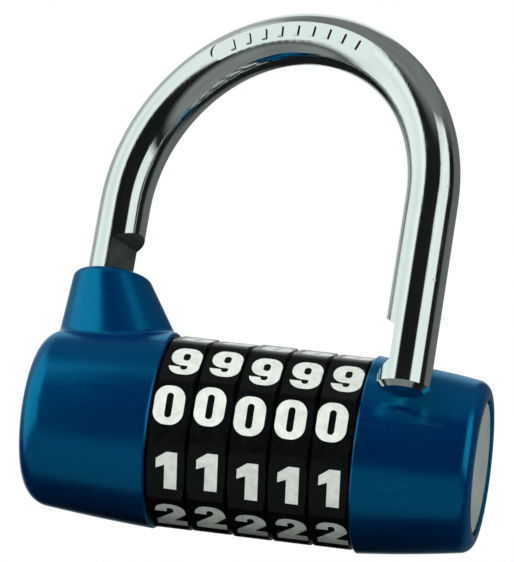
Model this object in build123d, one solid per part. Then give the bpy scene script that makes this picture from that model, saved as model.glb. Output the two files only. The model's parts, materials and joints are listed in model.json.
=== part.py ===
from build123d import *
import os
from math import cos, pi, radians, sin

# Five-dial barrel padlock, open, with its shackle swung out in front of the case.
# Frame: origin on the case's axis at the middle of the five dials, +X towards the toe end,
# -Y towards the reader of the code, +Z the way the shackle rises. Millimetres.

# ---- driving dimensions -------------------------------------------------------------------------
DIAL_COUNT = 5
DIGITS = 10
DIAL_PITCH = 7.06            # one dial and its gap along the case's axis
DIAL_RADIUS = 17.2           # over the ridges between the digits
DIAL_GAP = 0.2               # between neighbouring rims
FACE_X = DIAL_COUNT * DIAL_PITCH / 2 + 0.2          # dial-side face of each housing
HEEL_END_X = -41.25           # outer end of the heel housing
TOE_END_X = 37.95             # outer end of the toe housing
HEEL_END_RADIUS = 15.1
TOE_END_RADIUS = 14.6

LEG_RADIUS = 4.55            # shackle bar, 9.1 mm in diameter
HEEL_X = -32.15               # axis that the shackle turns about
SHACKLE_WIDTH = 61.5         # heel axis to toe axis
TOE_X = HEEL_X + SHACKLE_WIDTH
BOW_RADIUS = SHACKLE_WIDTH / 2
BOW_Z = 40.0                 # where the legs run into the bow
SWING = 20.5                 # degrees that the shackle is swung out from the toe socket
TOE_TIP_Z = 6.0              # foot of the toe leg
LIFT = 10.8                  # upward travel left above the rest position
CLOSE_DROP = 13.9            # further down from the rest position to the closed one
HEEL_FLAT_DEPTH = 3.3        # the flat lets the closed leg pass the retaining pin
HEEL_FLAT_TOP = 32.8
HEEL_SLOPE = 1.6             # height of the slope above the flat
TOE_NOTCH_DEPTH = 3.6        # notch for the locking bolt
TOE_NOTCH = (10.4, 16.6)     # its floor, lowest and highest
TOE_SLOPES = (2.6, 1.9)      # heights of the slopes below and above it
BOLT_REACH = 2.7             # how far the bolt stands into the notch
BOW_BARS = 9                 # plain bars in the recess on the bow
BAR_STEP = 6                 # degrees

PIN_RADIUS = 1.0             # retaining pin that runs in the heel leg's neck
PIN_Z = 15.2
PIN_REACH = 1.45             # how far the pin stands into the heel bore
NECK_RADIUS = 3.0
FOOT_LENGTH = 2.0            # full-diameter foot below the neck
PLAY = 0.05
BORE_RADIUS = LEG_RADIUS + 0.1

BOSS_TOP_Z = 26.8
TOE_FLAT_Z = 14.75           # flat on the toe housing round the socket
TOE_FLAT_X = 23.0

SPINDLE_TRAVEL = 3.1
SPINDLE_RADIUS = 2.6
TUBE_INNER = 2.7
TUBE_OUTER = 5.0
TUBE_END_X = 22.2
SLEEVE_BORE = TUBE_OUTER + 0.1
SLEEVE_GROOVE = 7.0
SLEEVE_OUTER = 9.0
SLEEVE_LENGTH = 6.3
SPLINE_HEIGHT = 0.8
SPLINE_WIDTH = 1.6
FIN_WIDTH = 2.0
FIN_THICKNESS = 1.3
FIN_REACH = 6.6
GATE_WIDTH = 2.5
LAND_THICKNESS = 1.2
BOLT_TIP_X = TOE_X - LEG_RADIUS + BOLT_REACH

DIGIT_HEIGHT = 6.85
DIGIT_WIDTH = 5.3
DIGIT_SHIFT = 0.5            # the digits stand a little towards the toe on their dials
ZERO_SHIFT = -0.5            # and the noughts a little towards the heel
ZERO_LIFT = 3.6              # degrees that the noughts stand above the middle of their flats
FACE_DROP = 2.3              # degrees that the dials' flats lie below the keys in their bores
STROKE = 2.05
DIGIT_POCKET = 0.3           # how deep the numerals are let into the dial
DIGIT_PROUD = 0.02
DIAL_PLAY = (-0.1, 1.7, -1.15, -0.3, 0.9)             # how each dial sits in its detent, degrees

DISC_RADIUS = 11.4
DISC_FACE_X = TOE_END_X - 0.5
DISC_THICKNESS = 1.2
SCREW_Y = 8.0
SCREW_RADIUS = 1.5
HEAD_RADIUS = 2.7
HEAD_SEAT_X = 32.7           # where the screw heads bear in the toe housing
FLANGE_RADIUS = 12.5
FLANGE_THICKNESS = 2.0
FLANGE_X = FACE_X + 0.2


def dial_x(index):
    """Middle of a dial along the case's axis."""
    return (index - (DIAL_COUNT - 1) / 2) * DIAL_PITCH


def rod(radius, x_from, x_to, y=0.0, z=0.0):
    """A round bar along X."""
    length = x_to - x_from
    place = Pos((x_from + x_to) / 2, y, z) * Rot(0, 90, 0)
    return place * Cylinder(radius, length)


def post(radius, z_from, z_to, x=0.0, y=0.0):
    """A round bar along Z."""
    return Pos(x, y, (z_from + z_to) / 2) * Cylinder(radius, z_to - z_from)


def block(x_range, y_range, z_range):
    """A box between two corners."""
    size = [high - low for low, high in (x_range, y_range, z_range)]
    middle = [(high + low) / 2 for low, high in (x_range, y_range, z_range)]
    return Pos(*middle) * Box(*size)


def turn(shape, degrees):
    """Turn a shape about the case's axis."""
    return Rot(degrees, 0, 0) * shape


# ---- housings -----------------------------------------------------------------------------------
def barrel(x_face, x_end, end_radius, corner, bulge=0.2):
    """One tapering end of the barrel, closed, with its outer corner rounded."""
    middle = ((x_face + x_end) / 2, (DIAL_RADIUS + end_radius) / 2 + bulge)
    outline = [
        Line((x_face, 0), (x_face, DIAL_RADIUS)),
        ThreePointArc((x_face, DIAL_RADIUS), middle, (x_end, end_radius)),
        Line((x_end, end_radius), (x_end, 0)),
        Line((x_end, 0), (x_face, 0)),
    ]
    body = revolve(make_face(outline), Axis.X)
    rim = body.edges().filter_by(GeomType.CIRCLE).sort_by(Axis.X)
    body = fillet(rim[0] if x_end < x_face else rim[-1], corner)
    rim = body.edges().filter_by(GeomType.CIRCLE).sort_by(Axis.X)
    return chamfer(rim[-1] if x_end < x_face else rim[0], 0.3)


def heel_boss():
    """Tall boss round the heel leg: upright outside, sloping down towards the dials."""
    top = Pos(HEEL_X, 0, BOSS_TOP_Z) * Circle(6.8)
    base = Pos(HEEL_X + 5.7, 0, 8.0) * Ellipse(13.6, 10.5)
    boss = loft([base.face(), top.face()], ruled=True)
    return boss & block((HEEL_END_X, FACE_X * -1 - 0.4), (-20, 20), (0, 40))


def make_heel_housing():
    body = barrel(-FACE_X, HEEL_END_X, HEEL_END_RADIUS, 4.5)
    body = body + heel_boss()
    crown = body.edges().filter_by(GeomType.CIRCLE).sort_by(Axis.Z)[-1]
    body = fillet(crown, 1.5)
    body = blend_seam(body)
    body = body - post(BORE_RADIUS, -CLOSE_DROP + 1.15, BOSS_TOP_Z + 5, HEEL_X)
    body = body - rod(TUBE_OUTER, -TUBE_END_X, -FACE_X + 1)
    body = body - rod(3.4, -26.8, -TUBE_END_X + 0.5)
    return body - rod(PIN_RADIUS, HEEL_X, -FACE_X + 1, 0, PIN_Z)


def blend_seam(body):
    """Round the line where the boss grows out of the barrel."""
    seam = [e for e in body.edges()
            if e.geom_type not in (GeomType.CIRCLE, GeomType.LINE)
            and 10.0 < e.center().Z < 24.0 and e.length > 10.0]
    return fillet(seam, 1.6)


def make_toe_housing():
    body = barrel(FACE_X, TOE_END_X, TOE_END_RADIUS, 2.4)
    body = body - toe_flat()
    body = body - post(BORE_RADIUS + 0.1, TOE_TIP_Z - CLOSE_DROP - 1.0, TOE_FLAT_Z + 5, TOE_X)
    body = body - rod(DISC_RADIUS + 0.35, DISC_FACE_X - DISC_THICKNESS, TOE_END_X + 1)
    body = body - rod(FLANGE_RADIUS + PLAY, FACE_X - 1, FLANGE_X + FLANGE_THICKNESS)
    body = body - rod(TUBE_OUTER, FACE_X, TUBE_END_X)
    body = body - rod(SPINDLE_RADIUS + PLAY, FACE_X, TOE_X)
    for side in (-1, 1):
        body = body - rod(SCREW_RADIUS + 0.1, FACE_X, DISC_FACE_X, side * SCREW_Y)
        body = body - rod(HEAD_RADIUS + 0.2, HEAD_SEAT_X, DISC_FACE_X, side * SCREW_Y)
    return body


def toe_flat():
    """What is milled off the top of the toe housing, rounded off towards the dials."""
    cut = block((TOE_FLAT_X, TOE_END_X + 5), (-20, 20), (TOE_FLAT_Z, 30))
    low_edges = cut.edges().filter_by(Axis.Y).sort_by(Axis.Z)[:2]
    return fillet(low_edges.sort_by(Axis.X)[0], 3.0)


def make_end_disc():
    disc = rod(DISC_RADIUS, DISC_FACE_X - DISC_THICKNESS, DISC_FACE_X)
    return fillet(disc.edges().sort_by(Axis.X)[-1], 0.25)


# ---- core: tube, flange, screws, washers, detents ----------------------------------------------
def make_core_tube():
    tube = rod(TUBE_OUTER, -TUBE_END_X, TUBE_END_X) - rod(TUBE_INNER, -TUBE_END_X - 1, TUBE_END_X + 1)
    tube = tube - block((-17.0, 17.0), (-GATE_WIDTH / 2, GATE_WIDTH / 2), (-TUBE_OUTER - 1, -1))
    return tube - block((-17.0, 17.0), (-3, 3), (4.4, 6))


def make_core_flange():
    plate = rod(FLANGE_RADIUS, FLANGE_X, FLANGE_X + FLANGE_THICKNESS)
    plate = plate - rod(TUBE_OUTER, FLANGE_X - 1, FLANGE_X + FLANGE_THICKNESS + 1)
    for side in (-1, 1):
        plate = plate - rod(SCREW_RADIUS, FLANGE_X - 1, FLANGE_X + FLANGE_THICKNESS + 1, side * SCREW_Y)
    return plate


def assembly_screw(side):
    """Socket-head screw from under the end disc into the core flange."""
    head = rod(HEAD_RADIUS, HEAD_SEAT_X, HEAD_SEAT_X + 3.0, side * SCREW_Y)
    head = fillet(head.edges().sort_by(Axis.X)[-1], 0.3)
    shank = rod(SCREW_RADIUS, FLANGE_X + 0.2, HEAD_SEAT_X, side * SCREW_Y)
    socket = Pos(HEAD_SEAT_X + 2.4, side * SCREW_Y, 0) * Rot(0, 90, 0) * extrude(RegularPolygon(1.4, 6), 1.0)
    return head + shank - socket


def make_spacer_washers():
    washers = []
    for index in range(DIAL_COUNT - 1):
        x = dial_x(index) + DIAL_PITCH / 2
        ring = rod(13.0, x - 0.15, x + 0.15) - rod(TUBE_OUTER + 0.02, x - 1, x + 1)
        washers.append(ring + key_tab(x))
    return washers


def key_tab(x):
    """Tab that holds a washer still in the core tube's slot."""
    half = GATE_WIDTH / 2 - 0.1
    return block((x - 0.15, x + 0.15), (-half, half), (-TUBE_OUTER - 0.3, -3.6))


def detent_spring(index):
    """Arched leaf that stands on the core tube's flat and clicks in the sleeve's flutes."""
    x = dial_x(index) + 1.6
    outer, inner, spring_z = 2.1, 1.8, 4.72
    arch = rod(outer, x - 0.7, x + 0.7, 0, spring_z) - rod(inner, x - 1, x + 1, 0, spring_z)
    arch = arch & block((x - 1, x + 1), (-3, 3), (spring_z, 8))
    for side in (-1, 1):
        low, high = sorted((side * inner, side * outer))
        arch = arch + block((x - 0.7, x + 0.7), (low, high), (4.4, spring_z + 0.02))
    return arch


# ---- dials and sleeves --------------------------------------------------------------------------
def ridge_angle(index):
    """Where a ridge lies in the dial's section: the front of the case is at 270 degrees, amid a flat."""
    return index * 360 / DIGITS


def dial_section():
    """Ten flats. Ridges are broad and narrow by turns."""
    corners = [(DIAL_RADIUS * cos(radians(ridge_angle(i))), DIAL_RADIUS * sin(radians(ridge_angle(i))))
               for i in range(DIGITS)]
    section = make_face(Polyline(*corners, close=True))
    broad = [v for v in section.vertices() if is_broad(v)]
    section = fillet(broad, 5.0)
    sharp = [v for v in section.vertices() if (v.X ** 2 + v.Y ** 2) ** 0.5 > DIAL_RADIUS - 0.01]
    return fillet(sharp, 0.6)


def is_broad(vertex):
    """The ridges between 0 and 1, 2 and 3, and so on are the broad ones."""
    for index in range(0, DIGITS, 2):
        angle = radians(ridge_angle(index))
        gap = abs(vertex.X - DIAL_RADIUS * cos(angle)) + abs(vertex.Y - DIAL_RADIUS * sin(angle))
        if gap < 0.01:
            return True
    return False


def dial_blank():
    """A dial about X at x = 0 with flats, side chamfers and a keyed bore, no digits yet."""
    half = (DIAL_PITCH - DIAL_GAP) / 2
    ring = turn(Rot(0, 90, 0) * extrude(dial_section(), half, both=True), FACE_DROP)
    for side in (-1, 1):
        ring = ring & side_chamfer(side, half)
    for side in (-1, 1):
        low, high = sorted((side * (SLEEVE_LENGTH / 2), side * (half + 1)))
        ring = ring - rod(13.4, low, high)
    ring = ring - rod(SLEEVE_OUTER + PLAY, -half - 1, half + 1)
    for index in range(DIGITS):
        width = SPLINE_WIDTH / 2 + PLAY
        top = SLEEVE_OUTER + SPLINE_HEIGHT + PLAY
        ring = ring - turn(block((-half, half), (-width, width), (0, top)), index * 36)
    return ring


def side_chamfer(side, half):
    """A barrel-shaped envelope whose one end is coned, to bevel a dial's rim."""
    bevel = 0.45
    outline = Polyline((-side * 9, 0), (-side * 9, 19), (side * (half - bevel), 19),
                       (side * (half - bevel), DIAL_RADIUS), (side * half, DIAL_RADIUS - 1.1),
                       (side * half, 0), close=True)
    return revolve(make_face(outline), Axis.X)


def ring_shape(width, height, y, inner_width, inner_height, corner):
    """An upright rounded ring, the base of the round digits."""
    outer = RectangleRounded(width, height, corner)
    inner_corner = min(inner_width, inner_height) / 2 - 0.01
    return Pos(0, y) * (outer - RectangleRounded(inner_width, inner_height, inner_corner))


def patch(x_range, y_range):
    """A flat rectangle between two corners."""
    (x0, x1), (y0, y1) = x_range, y_range
    return Pos((x0 + x1) / 2, (y0 + y1) / 2) * Rectangle(x1 - x0, y1 - y0)


def digit_outline(digit):
    """Heavy numerals drawn from rounded rings, bars and a few straight strokes."""
    w, h, s = DIGIT_WIDTH / 2, DIGIT_HEIGHT / 2, STROKE
    slot = DIGIT_WIDTH - 2 * s
    zero = ring_shape(2 * w, 2 * h, 0, slot, 2 * h - 2 * 1.25, 2.3)
    bowl_height = 4.5
    bowl_y = -h + bowl_height / 2
    bowl = ring_shape(2 * w, bowl_height, bowl_y, slot, bowl_height - 2.7, 2.1)
    if digit == 0:
        return zero
    if digit == 1:
        return make_face(Polyline((1.5, -h), (1.5, h), (-0.4, h), (-2.2, h - 1.35), (-2.2, h - 3.1),
                                  (-0.7, h - 2.45), (-0.7, -h), close=True))
    if digit == 2:
        cap = zero - patch((-w - 1, slot / 2 + 0.01), (-h - 1, 0.9)) - patch((-w - 1, w + 1), (-h - 1, 0.4))
        diagonal = make_face(Polyline((w, 0.9), (w, 0.4), (0.45, -h + 1.5), (w, -h + 1.5), (w, -h), (-w, -h),
                                      (-w, -h + 1.3), (slot / 2, 0.9), close=True))
        return cap + diagonal
    if digit == 3:
        top_height = 4.1
        top = ring_shape(2 * w - 0.3, top_height, h - top_height / 2, slot, top_height - 2.7, 1.9)
        both = bowl + top + patch((-0.6, w - 0.6), (-0.1, 1.1))
        return both - patch((-w - 1, -0.55), (-0.95, 1.35))
    if digit == 4:
        outer = make_face(Polyline((1.9, h), (-0.7, h), (-w, -0.8), (-w, -h + 1.5), (0.1, -h + 1.5), (0.1, -h),
                                   (1.9, -h), (1.9, -h + 1.5), (w, -h + 1.5), (w, -0.95), (1.9, -0.95),
                                   close=True))
        return outer - make_face(Polyline((0.1, 1.4), (0.1, -0.9), (-1.1, -0.9), close=True))
    if digit == 5:
        lower = bowl - patch((-w - 1, 0), (-0.9, 0.25)) - patch((-w - 1, -0.4), (-0.95, 2))
        upper = patch((-w + 0.2, w - 0.3), (h - 1.5, h)) + patch((-w + 0.2, -w + s + 0.1), (-0.35, h))
        return lower + upper + patch((-w + 0.2, 0.3), (-0.35, 0.85))
    if digit == 6:
        return bowl + (zero - patch((0, w + 1), (-0.4, h - 1.95)) - patch((-0.0, w + 1), (-h - 1, 0)))
    if digit == 7:
        return make_face(Polyline((-w, h), (w, h), (w, h - 1.6), (0.4, -h), (-1.9, -h), (0.3, h - 1.7),
                                  (-w, h - 1.7), close=True))
    if digit == 8:
        top_height = 4.1
        top = ring_shape(2 * w - 0.3, top_height, h - top_height / 2, slot, top_height - 2.7, 1.9)
        return bowl + top
    return Rot(0, 0, 180) * digit_outline(6)


def digit_angle(digit):
    """Degrees of turn about the case's axis from the reading line at the front, up being positive."""
    return -digit * 360 / DIGITS + (ZERO_LIFT if digit == 0 else 0)


def digit_solid(digit, low, high):
    """A numeral on its dial's flat, from one distance to another from the case's axis."""
    flat = -digit * 360 / DIGITS
    slide = DIAL_RADIUS * cos(pi / DIGITS) * radians(digit_angle(digit) - flat)
    sketch = Plane(origin=(0, -low, 0), x_dir=(1, 0, 0), z_dir=(0, -1, 0))
    sketch = sketch * Pos(ZERO_SHIFT if digit == 0 else DIGIT_SHIFT, slide) * digit_outline(digit)
    return turn(extrude(sketch, high - low), FACE_DROP - flat)


def make_numerals():
    flat_radius = DIAL_RADIUS * cos(pi / DIGITS)
    low, high = flat_radius - DIGIT_POCKET, flat_radius + DIGIT_PROUD
    return [digit_solid(digit, low, high) for digit in range(DIGITS)]


def make_dial():
    ring = dial_blank()
    flat_radius = DIAL_RADIUS * cos(pi / DIGITS)
    for digit in range(DIGITS):
        ring = ring - digit_solid(digit, flat_radius - DIGIT_POCKET, flat_radius + 1)
    return ring


def make_sleeve():
    """Code sleeve: rides on the core tube, keyed in the dial, with one gate for the spindle's fin."""
    half = SLEEVE_LENGTH / 2
    body = rod(SLEEVE_OUTER, -half, half) - rod(SLEEVE_BORE, -half - 1, half + 1)
    for index in range(DIGITS):
        tooth = block((-half, half), (-SPLINE_WIDTH / 2, SPLINE_WIDTH / 2),
                      (SLEEVE_OUTER - 0.3, SLEEVE_OUTER + SPLINE_HEIGHT))
        body = body + turn(tooth, index * 36)
    for side in (-1, 1):
        low, high = sorted((side * LAND_THICKNESS / 2, side * 2.65))
        body = body - rod(SLEEVE_GROOVE, low, high)
    for index in range(DIGITS):
        flute = rod(0.8, LAND_THICKNESS / 2, 2.65, 0, SLEEVE_GROOVE - 0.3)
        body = body - turn(flute, index * 36)
    gate = block((-half - 1, half + 1), (-GATE_WIDTH / 2, GATE_WIDTH / 2), (-SLEEVE_GROOVE, -4))
    return body - gate


# ---- spindle, bolt and their spring -------------------------------------------------------------
def make_spindle():
    body = rod(SPINDLE_RADIUS, -21.4, 21.5) + rod(1.2, -23.4, -21.4) + rod(1.4, 21.5, 24.0)
    for index in range(DIAL_COUNT):
        x = dial_x(index) + SPINDLE_TRAVEL / 2
        body = body + block((x - FIN_THICKNESS / 2, x + FIN_THICKNESS / 2),
                            (-FIN_WIDTH / 2, FIN_WIDTH / 2), (-FIN_REACH, -1.5))
    return body


def make_locking_bolt():
    """Nose that catches the notch in the toe leg; its top is sloped so that the shackle can ride in."""
    body = rod(SPINDLE_RADIUS, 21.5, BOLT_TIP_X) - rod(1.4, 21.0, 24.0)
    body = chamfer(body.edges().sort_by(Axis.X)[-1], 0.8)
    slope = make_face(Polyline((BOLT_TIP_X - 2.2, 3.2), (BOLT_TIP_X + 1.0, 0.0), (BOLT_TIP_X + 1.0, 3.2),
                               close=True))
    wedge = Plane.XZ * slope
    return body - extrude(wedge, 4, both=True)


def make_spindle_spring():
    wire, mean, turns = 0.35, 2.0, 6
    start, end = -26.6, -21.6
    path = Helix((end - start - 2 * wire) / turns, end - start - 2 * wire, mean)
    coil = sweep(Plane(path @ 0, z_dir=path % 0) * Circle(wire), path=path, is_frenet=True)
    return Pos(start + wire, 0, 0) * Rot(0, 90, 0) * coil


# ---- shackle ------------------------------------------------------------------------------------
def bow_recess():
    """Shallow racetrack on the front of the bow, with a row of plain raised bars in it."""
    depth, half_width, start, end = 0.4, 1.7, 59, 117
    floor_y = -LEG_RADIUS + depth
    lane = CenterArc((0, 0), BOW_RADIUS, start, end - start)
    track = make_face(lane.offset_2d(half_width, side=Side.BOTH, closed=True))
    return Pos(BOW_RADIUS, 0, BOW_Z) * extrude(Plane(origin=(0, floor_y, 0), x_dir=(1, 0, 0),
                                                   z_dir=(0, -1, 0)) * track, 2.0)


def bow_bar(angle):
    """One plain bar of the row in the recess."""
    bar = block((-0.45, 0.45), (-LEG_RADIUS + 0.05, -LEG_RADIUS + 1.0), (BOW_RADIUS - 0.95, BOW_RADIUS + 0.95))
    return Pos(BOW_RADIUS, 0, BOW_Z) * Rot(0, 90 - angle, 0) * bar


def leg_wedge(x_surface, x_floor, z_floor, z_surface, x_far):
    """Prism that cuts one sloping end of a notch: from full depth to nothing."""
    slope = make_face(Polyline((x_surface, z_surface), (x_floor, z_floor), (x_far, z_floor), (x_far, z_surface),
                               close=True))
    return extrude(Plane.XZ * slope, 6, both=True)


def make_shackle():
    """Built with the toe leg over its socket, then swung out about the heel axis."""
    foot_z = PIN_Z - LIFT - PIN_RADIUS - PLAY - FOOT_LENGTH
    heel = post(LEG_RADIUS, foot_z, BOW_Z)
    toe = post(LEG_RADIUS, TOE_TIP_Z, BOW_Z, SHACKLE_WIDTH)
    heel = chamfer(heel.edges().sort_by(Axis.Z)[0], 0.4)
    toe = chamfer(toe.edges().sort_by(Axis.Z)[0], 0.9)
    section = Plane.XY * Circle(LEG_RADIUS)
    bow = Pos(0, 0, BOW_Z) * revolve(section, Axis((BOW_RADIUS, 0, 0), (0, 1, 0)), 180)
    shackle = heel + bow + toe
    floor = LEG_RADIUS - HEEL_FLAT_DEPTH
    neck_top = PIN_Z + PIN_RADIUS + PLAY
    neck = post(LEG_RADIUS + 1, foot_z + FOOT_LENGTH, neck_top) - post(NECK_RADIUS, foot_z, neck_top + 1)
    shackle = shackle - neck - block((floor, 6), (-6, 6), (neck_top - 0.5, HEEL_FLAT_TOP))
    shackle = shackle - leg_wedge(LEG_RADIUS, floor, HEEL_FLAT_TOP, HEEL_FLAT_TOP + HEEL_SLOPE, 6)
    ring_z = foot_z + FOOT_LENGTH / 2
    shackle = shackle - (post(6, ring_z - 0.4, ring_z + 0.4) - post(3.6, ring_z - 1, ring_z + 1))
    toe_floor = SHACKLE_WIDTH - LEG_RADIUS + TOE_NOTCH_DEPTH
    inside, surface = SHACKLE_WIDTH - 6, SHACKLE_WIDTH - LEG_RADIUS
    low, high = TOE_NOTCH
    shackle = shackle - block((inside, toe_floor), (-6, 6), TOE_NOTCH)
    shackle = shackle - leg_wedge(surface, toe_floor, low, low - TOE_SLOPES[0], inside)
    shackle = shackle - leg_wedge(surface, toe_floor, high, high + TOE_SLOPES[1], inside)
    recess = bow_recess()
    for number in range(BOW_BARS):
        recess = recess - bow_bar(64 + number * BAR_STEP)
    return Pos(HEEL_X, 0, 0) * Rot(0, 0, -SWING) * (shackle - recess)


def make_drag_ring():
    """Split ring in the heel leg's foot: it lifts with the shackle, and the leg turns inside it."""
    ring_z = PIN_Z - LIFT - PIN_RADIUS - PLAY - FOOT_LENGTH / 2
    ring = post(LEG_RADIUS + 0.05, ring_z - 0.35, ring_z + 0.35) - post(3.65, ring_z - 1, ring_z + 1)
    ring = ring - block((-6, 0), (-0.6, 0.6), (ring_z - 1, ring_z + 1))
    return Pos(HEEL_X, 0, 0) * ring


def make_retaining_pin():
    pin = rod(PIN_RADIUS, HEEL_X + BORE_RADIUS - PIN_REACH - 0.1, -FACE_X - 0.3, 0, PIN_Z)
    return chamfer(pin.edges().sort_by(Axis.X)[0], 0.2)


def save(name, shape):
    if isinstance(shape, list):
        shape = Compound(children=shape)
    export_step(shape, f"parts/{name}.step")


def main():
    os.makedirs("parts", exist_ok=True)
    save("heel_housing", make_heel_housing())
    save("toe_housing", make_toe_housing())
    save("end_disc", make_end_disc())
    save("core_tube", make_core_tube())
    save("core_flange", make_core_flange())
    save("assembly_screws", [assembly_screw(-1), assembly_screw(1)])
    save("spacer_washers", make_spacer_washers())
    save("detent_springs", [detent_spring(index) for index in range(DIAL_COUNT)])
    save("retaining_pin", make_retaining_pin())
    save("shackle", make_shackle())
    save("heel_drag_ring", make_drag_ring())
    save("spindle", make_spindle())
    save("locking_bolt", make_locking_bolt())
    save("spindle_spring", make_spindle_spring())
    numerals = make_numerals()
    dial = make_dial()
    sleeve = make_sleeve()
    for index in range(DIAL_COUNT):
        place = Pos(dial_x(index), 0, 0) * Rot(-DIAL_PLAY[index], 0, 0)
        save(f"dial_{index + 1}", place * dial)
        save(f"numerals_{index + 1}", [place * numeral for numeral in numerals])
        save(f"code_sleeve_{index + 1}", place * sleeve)


main()
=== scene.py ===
import json
import math

import bpy
from mathutils import Matrix, Vector


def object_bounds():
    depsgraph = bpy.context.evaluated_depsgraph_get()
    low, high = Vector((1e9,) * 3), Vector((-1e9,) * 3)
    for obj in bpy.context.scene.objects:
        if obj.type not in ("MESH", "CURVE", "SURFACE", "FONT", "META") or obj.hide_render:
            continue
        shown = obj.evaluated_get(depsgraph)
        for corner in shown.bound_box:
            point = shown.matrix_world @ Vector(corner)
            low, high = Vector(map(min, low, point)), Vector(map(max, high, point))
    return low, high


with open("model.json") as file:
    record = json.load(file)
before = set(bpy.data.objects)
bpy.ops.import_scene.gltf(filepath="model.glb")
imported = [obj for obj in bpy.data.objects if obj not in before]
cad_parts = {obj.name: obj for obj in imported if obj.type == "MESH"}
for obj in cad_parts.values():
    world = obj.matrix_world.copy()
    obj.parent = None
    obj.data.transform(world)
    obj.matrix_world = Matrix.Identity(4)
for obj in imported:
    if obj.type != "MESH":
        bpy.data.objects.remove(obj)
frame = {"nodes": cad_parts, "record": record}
CAD_BOX = [list(corner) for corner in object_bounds()]
NODES = frame["nodes"]
MM = 0.001

# ---- camera: low, in front of the dials, a little to the toe side ----------------------------------
IMAGE_HEIGHT = 562
CAMERA_AT = Vector((0.11585, -0.6248, -0.1584))
TURN_VECTOR = Vector((-0.3003, 0.1677, 0.1361))
FOCAL = 3770 / IMAGE_HEIGHT  # in image heights
SENSOR_WIDTH = 36.0  # in millimetres
NEAR_CLIP, FAR_CLIP = 0.01, 20


def camera_matrix():
    """The camera's place, and the way from the lock to it.

    Rows of the turned basis are the view's right, down and forward.
    """
    base = Matrix(((1, 0, 0), (0, 0, -1), (0, 1, 0)))
    rows = Matrix.Rotation(TURN_VECTOR.length, 3, TURN_VECTOR) @ base
    right, down, forward = rows[0], rows[1], rows[2]
    turn = Matrix((right, -down, -forward)).transposed()
    return Matrix.Translation(CAMERA_AT) @ turn.to_4x4(), -forward


def make_camera():
    data = bpy.data.cameras.new("camera")
    data.sensor_width = SENSOR_WIDTH
    data.lens = FOCAL * SENSOR_WIDTH
    data.clip_start, data.clip_end = NEAR_CLIP, FAR_CLIP
    camera = bpy.data.objects.new("camera", data)
    place, towards_camera = camera_matrix()
    camera.matrix_world = place
    bpy.context.scene.collection.objects.link(camera)
    bpy.context.scene.camera = camera
    return towards_camera


# ---- node helpers ----------------------------------------------------------------------------------
class Tree:
    """Short way to write shader nodes: each call makes one node and wires or sets its inputs."""

    def __init__(self, tree):
        self.tree = tree

    def node(self, kind, settings=None, **inputs):
        """An input is named by its number, as in i0, or by its name with _ for a space."""
        made = self.tree.nodes.new("ShaderNode" + kind)
        for key, value in (settings or {}).items():
            setattr(made, key, value)
        for key, value in inputs.items():
            by_number = key[0] == "i" and key[1:].isdigit()
            self.feed(made.inputs[int(key[1:]) if by_number else key.replace("_", " ")], value)
        return made

    def feed(self, socket, value):
        if isinstance(value, bpy.types.NodeSocket):
            self.tree.links.new(value, socket)
        else:
            socket.default_value = value

    def math(self, operation, a, b=0.0):
        return self.node("Math", {"operation": operation}, i0=a, i1=b).outputs[0]

    def spread(self, value, low, high, to_low=0.0, to_high=1.0):
        made = self.node("MapRange", {"clamp": True}, Value=value, From_Min=low, From_Max=high,
                         To_Min=to_low, To_Max=to_high)
        return made.outputs[0]

    def noise(self, vector, scale, detail=3.0, rough=0.5):
        made = self.node("TexNoise", None, Vector=vector, Scale=scale, Detail=detail, Roughness=rough)
        return made.outputs["Fac"]

    def stretch(self, vector, x, y, z):
        return self.node("Mapping", None, Vector=vector, Scale=(x, y, z)).outputs[0]

    def mix(self, factor, a, b):
        made = self.node("Mix", {"data_type": "RGBA"})
        self.feed(made.inputs["Factor"], factor)
        self.feed(made.inputs[6], a)
        self.feed(made.inputs[7], b)
        return made.outputs[2]

    def bump(self, height, distance, strength):
        return self.node("Bump", None, Height=height, Distance=distance, Strength=strength).outputs[0]

    def scratches(self, vector, scale, along, width):
        """Thin lines, where a stretched noise crosses its middle value."""
        value = self.noise(self.stretch(vector, *along), scale, 4.0, 0.6)
        away = self.math("ABSOLUTE", self.math("SUBTRACT", value, 0.5))
        return self.spread(away, 0.0, width, 1.0, 0.0)


def new_material(name, color):
    material = bpy.data.materials.new(name)
    material.use_nodes = True
    material.diffuse_color = (*color, 1.0)
    tree = Tree(material.node_tree)
    shader = material.node_tree.nodes["Principled BSDF"]
    position = tree.node("TexCoord").outputs["Object"]
    return material, tree, shader, position


def finish_shader(shader, constants, links, tree):
    for key, value in constants.items():
        shader.inputs[key].default_value = value
    for key, value in links.items():
        tree.feed(shader.inputs[key], value)


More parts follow.
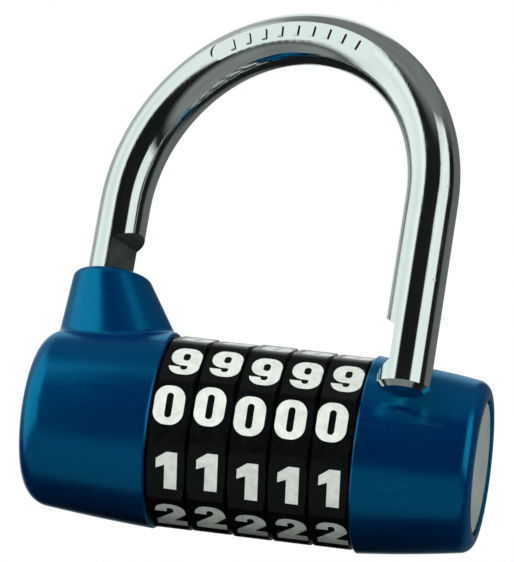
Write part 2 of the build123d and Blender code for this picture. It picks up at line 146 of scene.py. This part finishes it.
# ---- materials -------------------------------------------------------------------------------------
def blue_paint():
    """Satin metallic lacquer: deep blue body under a cyan sheen, fine flake, a few handling scratches."""
    material, t, shader, p = new_material("blue_paint", (0.0, 0.05, 0.2))
    cloud = t.noise(p, 60.0, 4.0)
    flake = t.noise(p, 9000.0, 2.0)
    tone = t.mix(t.spread(cloud, 0.3, 0.7), (0.0, 0.009, 0.062, 1), (0.0, 0.012, 0.074, 1))
    tone = t.mix(t.spread(flake, 0.55, 0.75, 0.0, 0.3), tone, (0.0, 0.05, 0.16, 1))
    marks = t.math("MULTIPLY", t.scratches(p, 260.0, (0.12, 1.0, 1.0), 0.006),
                   t.spread(t.noise(p, 90.0), 0.52, 0.62))
    tone = t.mix(t.math("MULTIPLY", marks, 0.25), tone, (0.05, 0.16, 0.30, 1))
    drawn = t.noise(t.stretch(p, 0.05, 1.0, 1.0), 900.0, 3.0)
    rough = t.math("ADD", t.spread(cloud, 0.3, 0.7, 0.22, 0.27), t.spread(drawn, 0.3, 0.7, -0.03, 0.03))
    height = t.math("ADD", t.math("MULTIPLY", flake, 0.4), t.math("ADD", marks, drawn))
    finish_shader(shader, {"Metallic": 0.0, "IOR": 3.4, "Specular IOR Level": 0.5,
                           "Specular Tint": (0.0, 0.57, 1.0, 1.0),
                           "Coat Weight": 0.06, "Coat Roughness": 0.12},
                  {"Base Color": tone, "Roughness": rough, "Normal": t.bump(height, 0.00002, 0.35)}, t)
    return material


def chrome():
    """Bright plate over a drawn bar: soft ripple, light haze, lengthwise hairlines."""
    material, t, shader, p = new_material("chromed_steel", (0.8, 0.8, 0.8))
    haze = t.noise(p, 90.0, 5.0)
    ripple = t.noise(t.stretch(p, 1.0, 1.0, 0.35), 130.0, 2.0)
    hair = t.scratches(p, 420.0, (1.0, 1.0, 0.08), 0.01)
    nicks = t.spread(t.noise(p, 700.0, 2.0), 0.74, 0.78)
    tone = t.mix(t.spread(haze, 0.3, 0.7), (0.76, 0.84, 0.815, 1), (0.82, 0.89, 0.87, 1))
    tone = t.mix(t.math("MULTIPLY", nicks, 0.5), tone, (0.45, 0.47, 0.46, 1))
    rough = t.math("ADD", t.spread(haze, 0.35, 0.75, 0.05, 0.13), t.math("MULTIPLY", hair, 0.05))
    height = t.math("SUBTRACT", t.math("ADD", ripple, t.math("MULTIPLY", hair, 0.05)),
                    t.math("MULTIPLY", nicks, 0.5))
    finish_shader(shader, {"Metallic": 1.0},
                  {"Base Color": tone, "Roughness": rough, "Normal": t.bump(height, 0.00006, 0.5)}, t)
    return material


def rough_plate():
    """Milled face of the bar under thin plate: grainy and grey-green."""
    material, t, shader, p = new_material("rough_plate", (0.3, 0.32, 0.3))
    grain = t.noise(p, 2600.0, 4.0, 0.7)
    cloud = t.noise(p, 350.0, 3.0)
    tone = t.mix(t.spread(cloud, 0.3, 0.7), (0.10, 0.13, 0.115, 1), (0.20, 0.24, 0.22, 1))
    tone = t.mix(t.spread(grain, 0.62, 0.72), tone, (0.75, 0.78, 0.76, 1))
    finish_shader(shader, {"Metallic": 0.9},
                  {"Base Color": tone, "Roughness": t.spread(cloud, 0.3, 0.7, 0.38, 0.6),
                   "Normal": t.bump(grain, 0.0001, 0.8)}, t)
    return material


def black_dial():
    """Satin black moulding with a fine pebble, greyed on handled edges."""
    material, t, shader, p = new_material("black_dial", (0.01, 0.01, 0.01))
    pebble = t.noise(p, 3200.0, 3.0)
    dust = t.noise(p, 500.0, 4.0, 0.6)
    tone = t.mix(t.spread(dust, 0.45, 0.8, 0.0, 0.5), (0.0020, 0.0026, 0.0026, 1), (0.006, 0.007, 0.0065, 1))
    edge = t.spread(t.node("NewGeometry").outputs["Pointiness"], 0.60, 0.68, 0.0, 0.7)
    tone = t.mix(t.math("MULTIPLY", edge, t.spread(dust, 0.4, 0.6)), tone, (0.03, 0.034, 0.034, 1))
    finish_shader(shader, {"Metallic": 0.0, "Specular IOR Level": 0.22},
                  {"Base Color": tone, "Roughness": t.spread(dust, 0.3, 0.8, 0.22, 0.34),
                   "Normal": t.bump(pebble, 0.00004, 0.4)}, t)
    return material


def white_numeral():
    """Filled white figures with a slight mottle and some dark specks of wear."""
    material, t, shader, p = new_material("white_numeral", (0.75, 0.78, 0.74))
    mottle = t.noise(p, 700.0, 5.0, 0.65)
    speck = t.spread(t.noise(p, 1500.0, 3.0), 0.70, 0.76)
    tone = t.mix(t.spread(mottle, 0.3, 0.7), (0.50, 0.54, 0.49, 1), (0.68, 0.72, 0.67, 1))
    tone = t.mix(t.math("MULTIPLY", speck, 0.6), tone, (0.16, 0.18, 0.16, 1))
    finish_shader(shader, {"Metallic": 0.0, "Specular IOR Level": 0.4},
                  {"Base Color": tone, "Roughness": t.spread(mottle, 0.3, 0.7, 0.42, 0.62),
                   "Normal": t.bump(mottle, 0.00005, 0.5)}, t)
    return material


def brushed_disc():
    """Dull steel plate, turned: faint rings about the case's axis, and a few rubs."""
    material, t, shader, p = new_material("brushed_disc", (0.5, 0.49, 0.45))
    parts = t.node("SeparateXYZ", None, Vector=p)
    y, z = parts.outputs["Y"], parts.outputs["Z"]
    radius = t.math("SQRT", t.math("ADD", t.math("MULTIPLY", y, y), t.math("MULTIPLY", z, z)))
    rings = t.noise(t.node("CombineXYZ", None, X=radius).outputs[0], 5200.0, 3.0)
    cloud = t.noise(p, 160.0, 4.0)
    tone = t.mix(t.spread(cloud, 0.3, 0.7), (0.30, 0.35, 0.325, 1), (0.40, 0.45, 0.42, 1))
    tone = t.mix(t.spread(rings, 0.35, 0.65, 0.0, 0.4), tone, (0.50, 0.55, 0.52, 1))
    finish_shader(shader, {"Metallic": 0.25},
                  {"Base Color": tone, "Roughness": t.spread(cloud, 0.3, 0.7, 0.40, 0.52),
                   "Normal": t.bump(rings, 0.00002, 0.5)}, t)
    return material


def plain_metal(name, low, high, rough):
    """Inner steel and brass: turned, a little dull, slightly oily in patches."""
    material, t, shader, p = new_material(name, low)
    cloud = t.noise(p, 400.0, 4.0)
    tool = t.noise(t.stretch(p, 6.0, 0.6, 0.6), 900.0, 2.0)
    tone = t.mix(t.spread(cloud, 0.3, 0.7), (*low, 1), (*high, 1))
    finish_shader(shader, {"Metallic": 1.0},
                  {"Base Color": tone, "Roughness": t.spread(cloud, 0.3, 0.7, rough, rough + 0.12),
                   "Normal": t.bump(tool, 0.00002, 0.6)}, t)
    return material


def paint_nodes():
    made = {
        "blue_paint": blue_paint(), "chromed_steel": chrome(), "black_dial": black_dial(),
        "white_numeral": white_numeral(), "brushed_disc": brushed_disc(),
        "plain_steel": plain_metal("plain_steel", (0.44, 0.45, 0.46), (0.56, 0.57, 0.58), 0.28),
        "spring_steel": plain_metal("spring_steel", (0.36, 0.36, 0.37), (0.46, 0.46, 0.47), 0.25),
        "black_screw": plain_metal("black_screw", (0.05, 0.05, 0.055), (0.09, 0.09, 0.10), 0.38),
        "brass": plain_metal("brass", (0.62, 0.44, 0.16), (0.76, 0.58, 0.26), 0.26),
    }
    for part in frame["record"]["subparts"]:
        node = NODES[part["node"]]
        node.data.materials.clear()
        node.data.materials.append(made[part["material_slot"]])


# ---- shackle: which faces are milled ---------------------------------------------------------------
SWING = math.radians(20.5)
HEEL_X = -32.15 * MM
BAR_RADIUS = 4.55 * MM
MILLED_DEPTH = 0.04 * MM
HEEL_CUT_TOP = 34 * MM


def shackle_point(v):
    """A point in the shackle's own frame: the heel leg's axis is at x = 0, and the toe leg is on +x."""
    return Matrix.Rotation(SWING, 3, "Z") @ (v - Vector((HEEL_X, 0, 0)))


def mark_milled_faces(rough):
    """The heel leg's cut faces are those that lie deeper in the bar than its round side."""
    mesh = NODES["shackle"].data
    mesh.materials.append(rough)
    for face in mesh.polygons:
        center = shackle_point(face.center)
        inside = Vector((center.x, center.y)).length < BAR_RADIUS - MILLED_DEPTH
        if inside and center.z < HEEL_CUT_TOP:
            face.material_index = 1


# ---- studio ----------------------------------------------------------------------------------------
# Soft panels round the lock: (from, to) in degrees round the vertical, counted from the camera's own side
# and positive to its right; (from, to) in degrees of height; softness in degrees; brightness.
PANELS = (
    ((-116, -45), (-24, 55), 6, 0.95),
    ((-152, -116), (4, 62), 10, 0.50),
    ((-190, -152), (-2, 62), 8, 0.90),
    ((166, 190), (-2, 62), 8, 0.90),
    ((21, 66), (-14, 52), 4, 0.98),
    ((94, 170), (-30, 62), 12, 0.15),
    ((-190, 190), (46, 120), 10, 0.20),
    ((-120, 75), (-120, -30), 7, 0.23),
)
AMBIENT = 0.012
HEIGHT_SOFTNESS = 2  # how much softer a panel's top and bottom are than its sides
STUDIO_COLOR = (0.95, 1.0, 0.98, 1)
BACKDROP_COLOR = (1, 1, 1, 1)
# name, place, aim, size in metres, power in watts
LIGHTS = (
    ("key", (-0.12, -0.72, 0.26), (0, 0, 0.02), (0.40, 0.40), 4.4),
    ("overhead", (0, 0.1, 1.2), (0, 0, 0), (1.2, 1.2), 7.0),
    ("end_fill", (0.7, -0.25, 0.05), (0.04, 0, 0), (0.5, 0.5), 2.5),
)
FLOOR_GAP = 0.1 * MM
FLOOR_REACH = 3.0


def make_world(towards_camera):
    """The panels light the lock and mirror in it, and the camera sees a plain white backdrop behind it."""
    bpy.context.scene.view_settings.view_transform = "Standard"
    world = bpy.data.worlds.new("studio")
    bpy.context.scene.world = world
    world.use_nodes = True
    world.node_tree.nodes.clear()
    t = Tree(world.node_tree)
    direction = t.node("TexCoord").outputs["Generated"]

    def along(vector):
        made = t.node("VectorMath", {"operation": "DOT_PRODUCT"}, i0=direction, i1=tuple(vector))
        return made.outputs["Value"]

    def window(angle, low, high, soft):
        opens = t.spread(angle, low - soft / 2, low + soft / 2)
        closes = t.spread(angle, high - soft / 2, high + soft / 2, 1.0, 0.0)
        return t.math("MULTIPLY", opens, closes)

    flat_camera = Vector((towards_camera.x, towards_camera.y, 0)).normalized()
    flat_right = Vector((-flat_camera.y, flat_camera.x, 0))
    turn = t.math("DEGREES", t.math("ARCTAN2", along(flat_right), along(flat_camera)))
    height = t.math("DEGREES", t.math("ARCSINE", along((0, 0, 1))))
    total = AMBIENT
    for turns, heights, soft, strength in PANELS:
        lit = t.math("MULTIPLY", window(turn, *turns, soft), window(height, *heights, soft * HEIGHT_SOFTNESS))
        total = t.math("MAXIMUM", total, t.math("MULTIPLY", lit, strength))
    total = t.math("MULTIPLY", total, t.spread(t.noise(direction, 2.4, 2.0), 0.3, 0.7, 0.80, 1.08))
    seen = t.node("LightPath").outputs["Is Camera Ray"]
    studio = t.node("Background", None, Color=STUDIO_COLOR, Strength=total)
    backdrop = t.node("Background", None, Color=BACKDROP_COLOR, Strength=1.0)
    both = t.node("MixShader", None, i0=seen, i1=studio.outputs[0], i2=backdrop.outputs[0])
    t.node("OutputWorld", None, Surface=both.outputs[0])


def area_light(name, at, aim, size, power):
    """Plain soft light that doesn't show in the chrome and the paint."""
    data = bpy.data.lights.new(name, "AREA")
    data.shape = "RECTANGLE"
    data.size, data.size_y = size
    data.energy = power
    lamp = bpy.data.objects.new(name, data)
    facing = (Vector(aim) - Vector(at)).to_track_quat("-Z", "Y").to_matrix().to_4x4()
    lamp.matrix_world = Matrix.Translation(at) @ facing
    lamp.visible_glossy = False
    bpy.context.scene.collection.objects.link(lamp)


def make_floor():
    """Pale floor just under the case, left out of the chrome's mirror image.

    Seen from below it isn't there, so a low camera looks through it.
    """
    z = CAD_BOX[0][2] - FLOOR_GAP
    signs = ((-1, -1), (1, -1), (1, 1), (-1, 1))
    mesh = bpy.data.meshes.new("floor")
    mesh.from_pydata([(x * FLOOR_REACH, y * FLOOR_REACH, z) for x, y in signs], [], [(0, 1, 2, 3)])
    floor = bpy.data.objects.new("floor", mesh)
    bpy.context.scene.collection.objects.link(floor)
    material = bpy.data.materials.new("floor")
    material.use_nodes = True
    t = Tree(material.node_tree)
    shader = material.node_tree.nodes["Principled BSDF"]
    shader.inputs["Roughness"].default_value = 0.7
    grain = t.noise(t.node("TexCoord").outputs["Object"], 40.0)
    t.feed(shader.inputs["Base Color"], t.mix(grain, (0.86, 0.87, 0.87, 1), (0.91, 0.91, 0.91, 1)))
    clear = t.node("BsdfTransparent")
    behind = t.node("NewGeometry").outputs["Backfacing"]
    hidden = t.math("MAXIMUM", behind, t.node("LightPath").outputs["Is Glossy Ray"])
    both = t.node("MixShader", None, i0=hidden, i1=shader.outputs[0], i2=clear.outputs[0])
    output = material.node_tree.nodes["Material Output"]
    t.feed(output.inputs["Surface"], both.outputs[0])
    mesh.materials.append(material)


# ---- build -----------------------------------------------------------------------------------------
view_side = make_camera()
paint_nodes()
mark_milled_faces(rough_plate())
make_world(view_side)
make_floor()
for light in LIGHTS:
    area_light(*light)
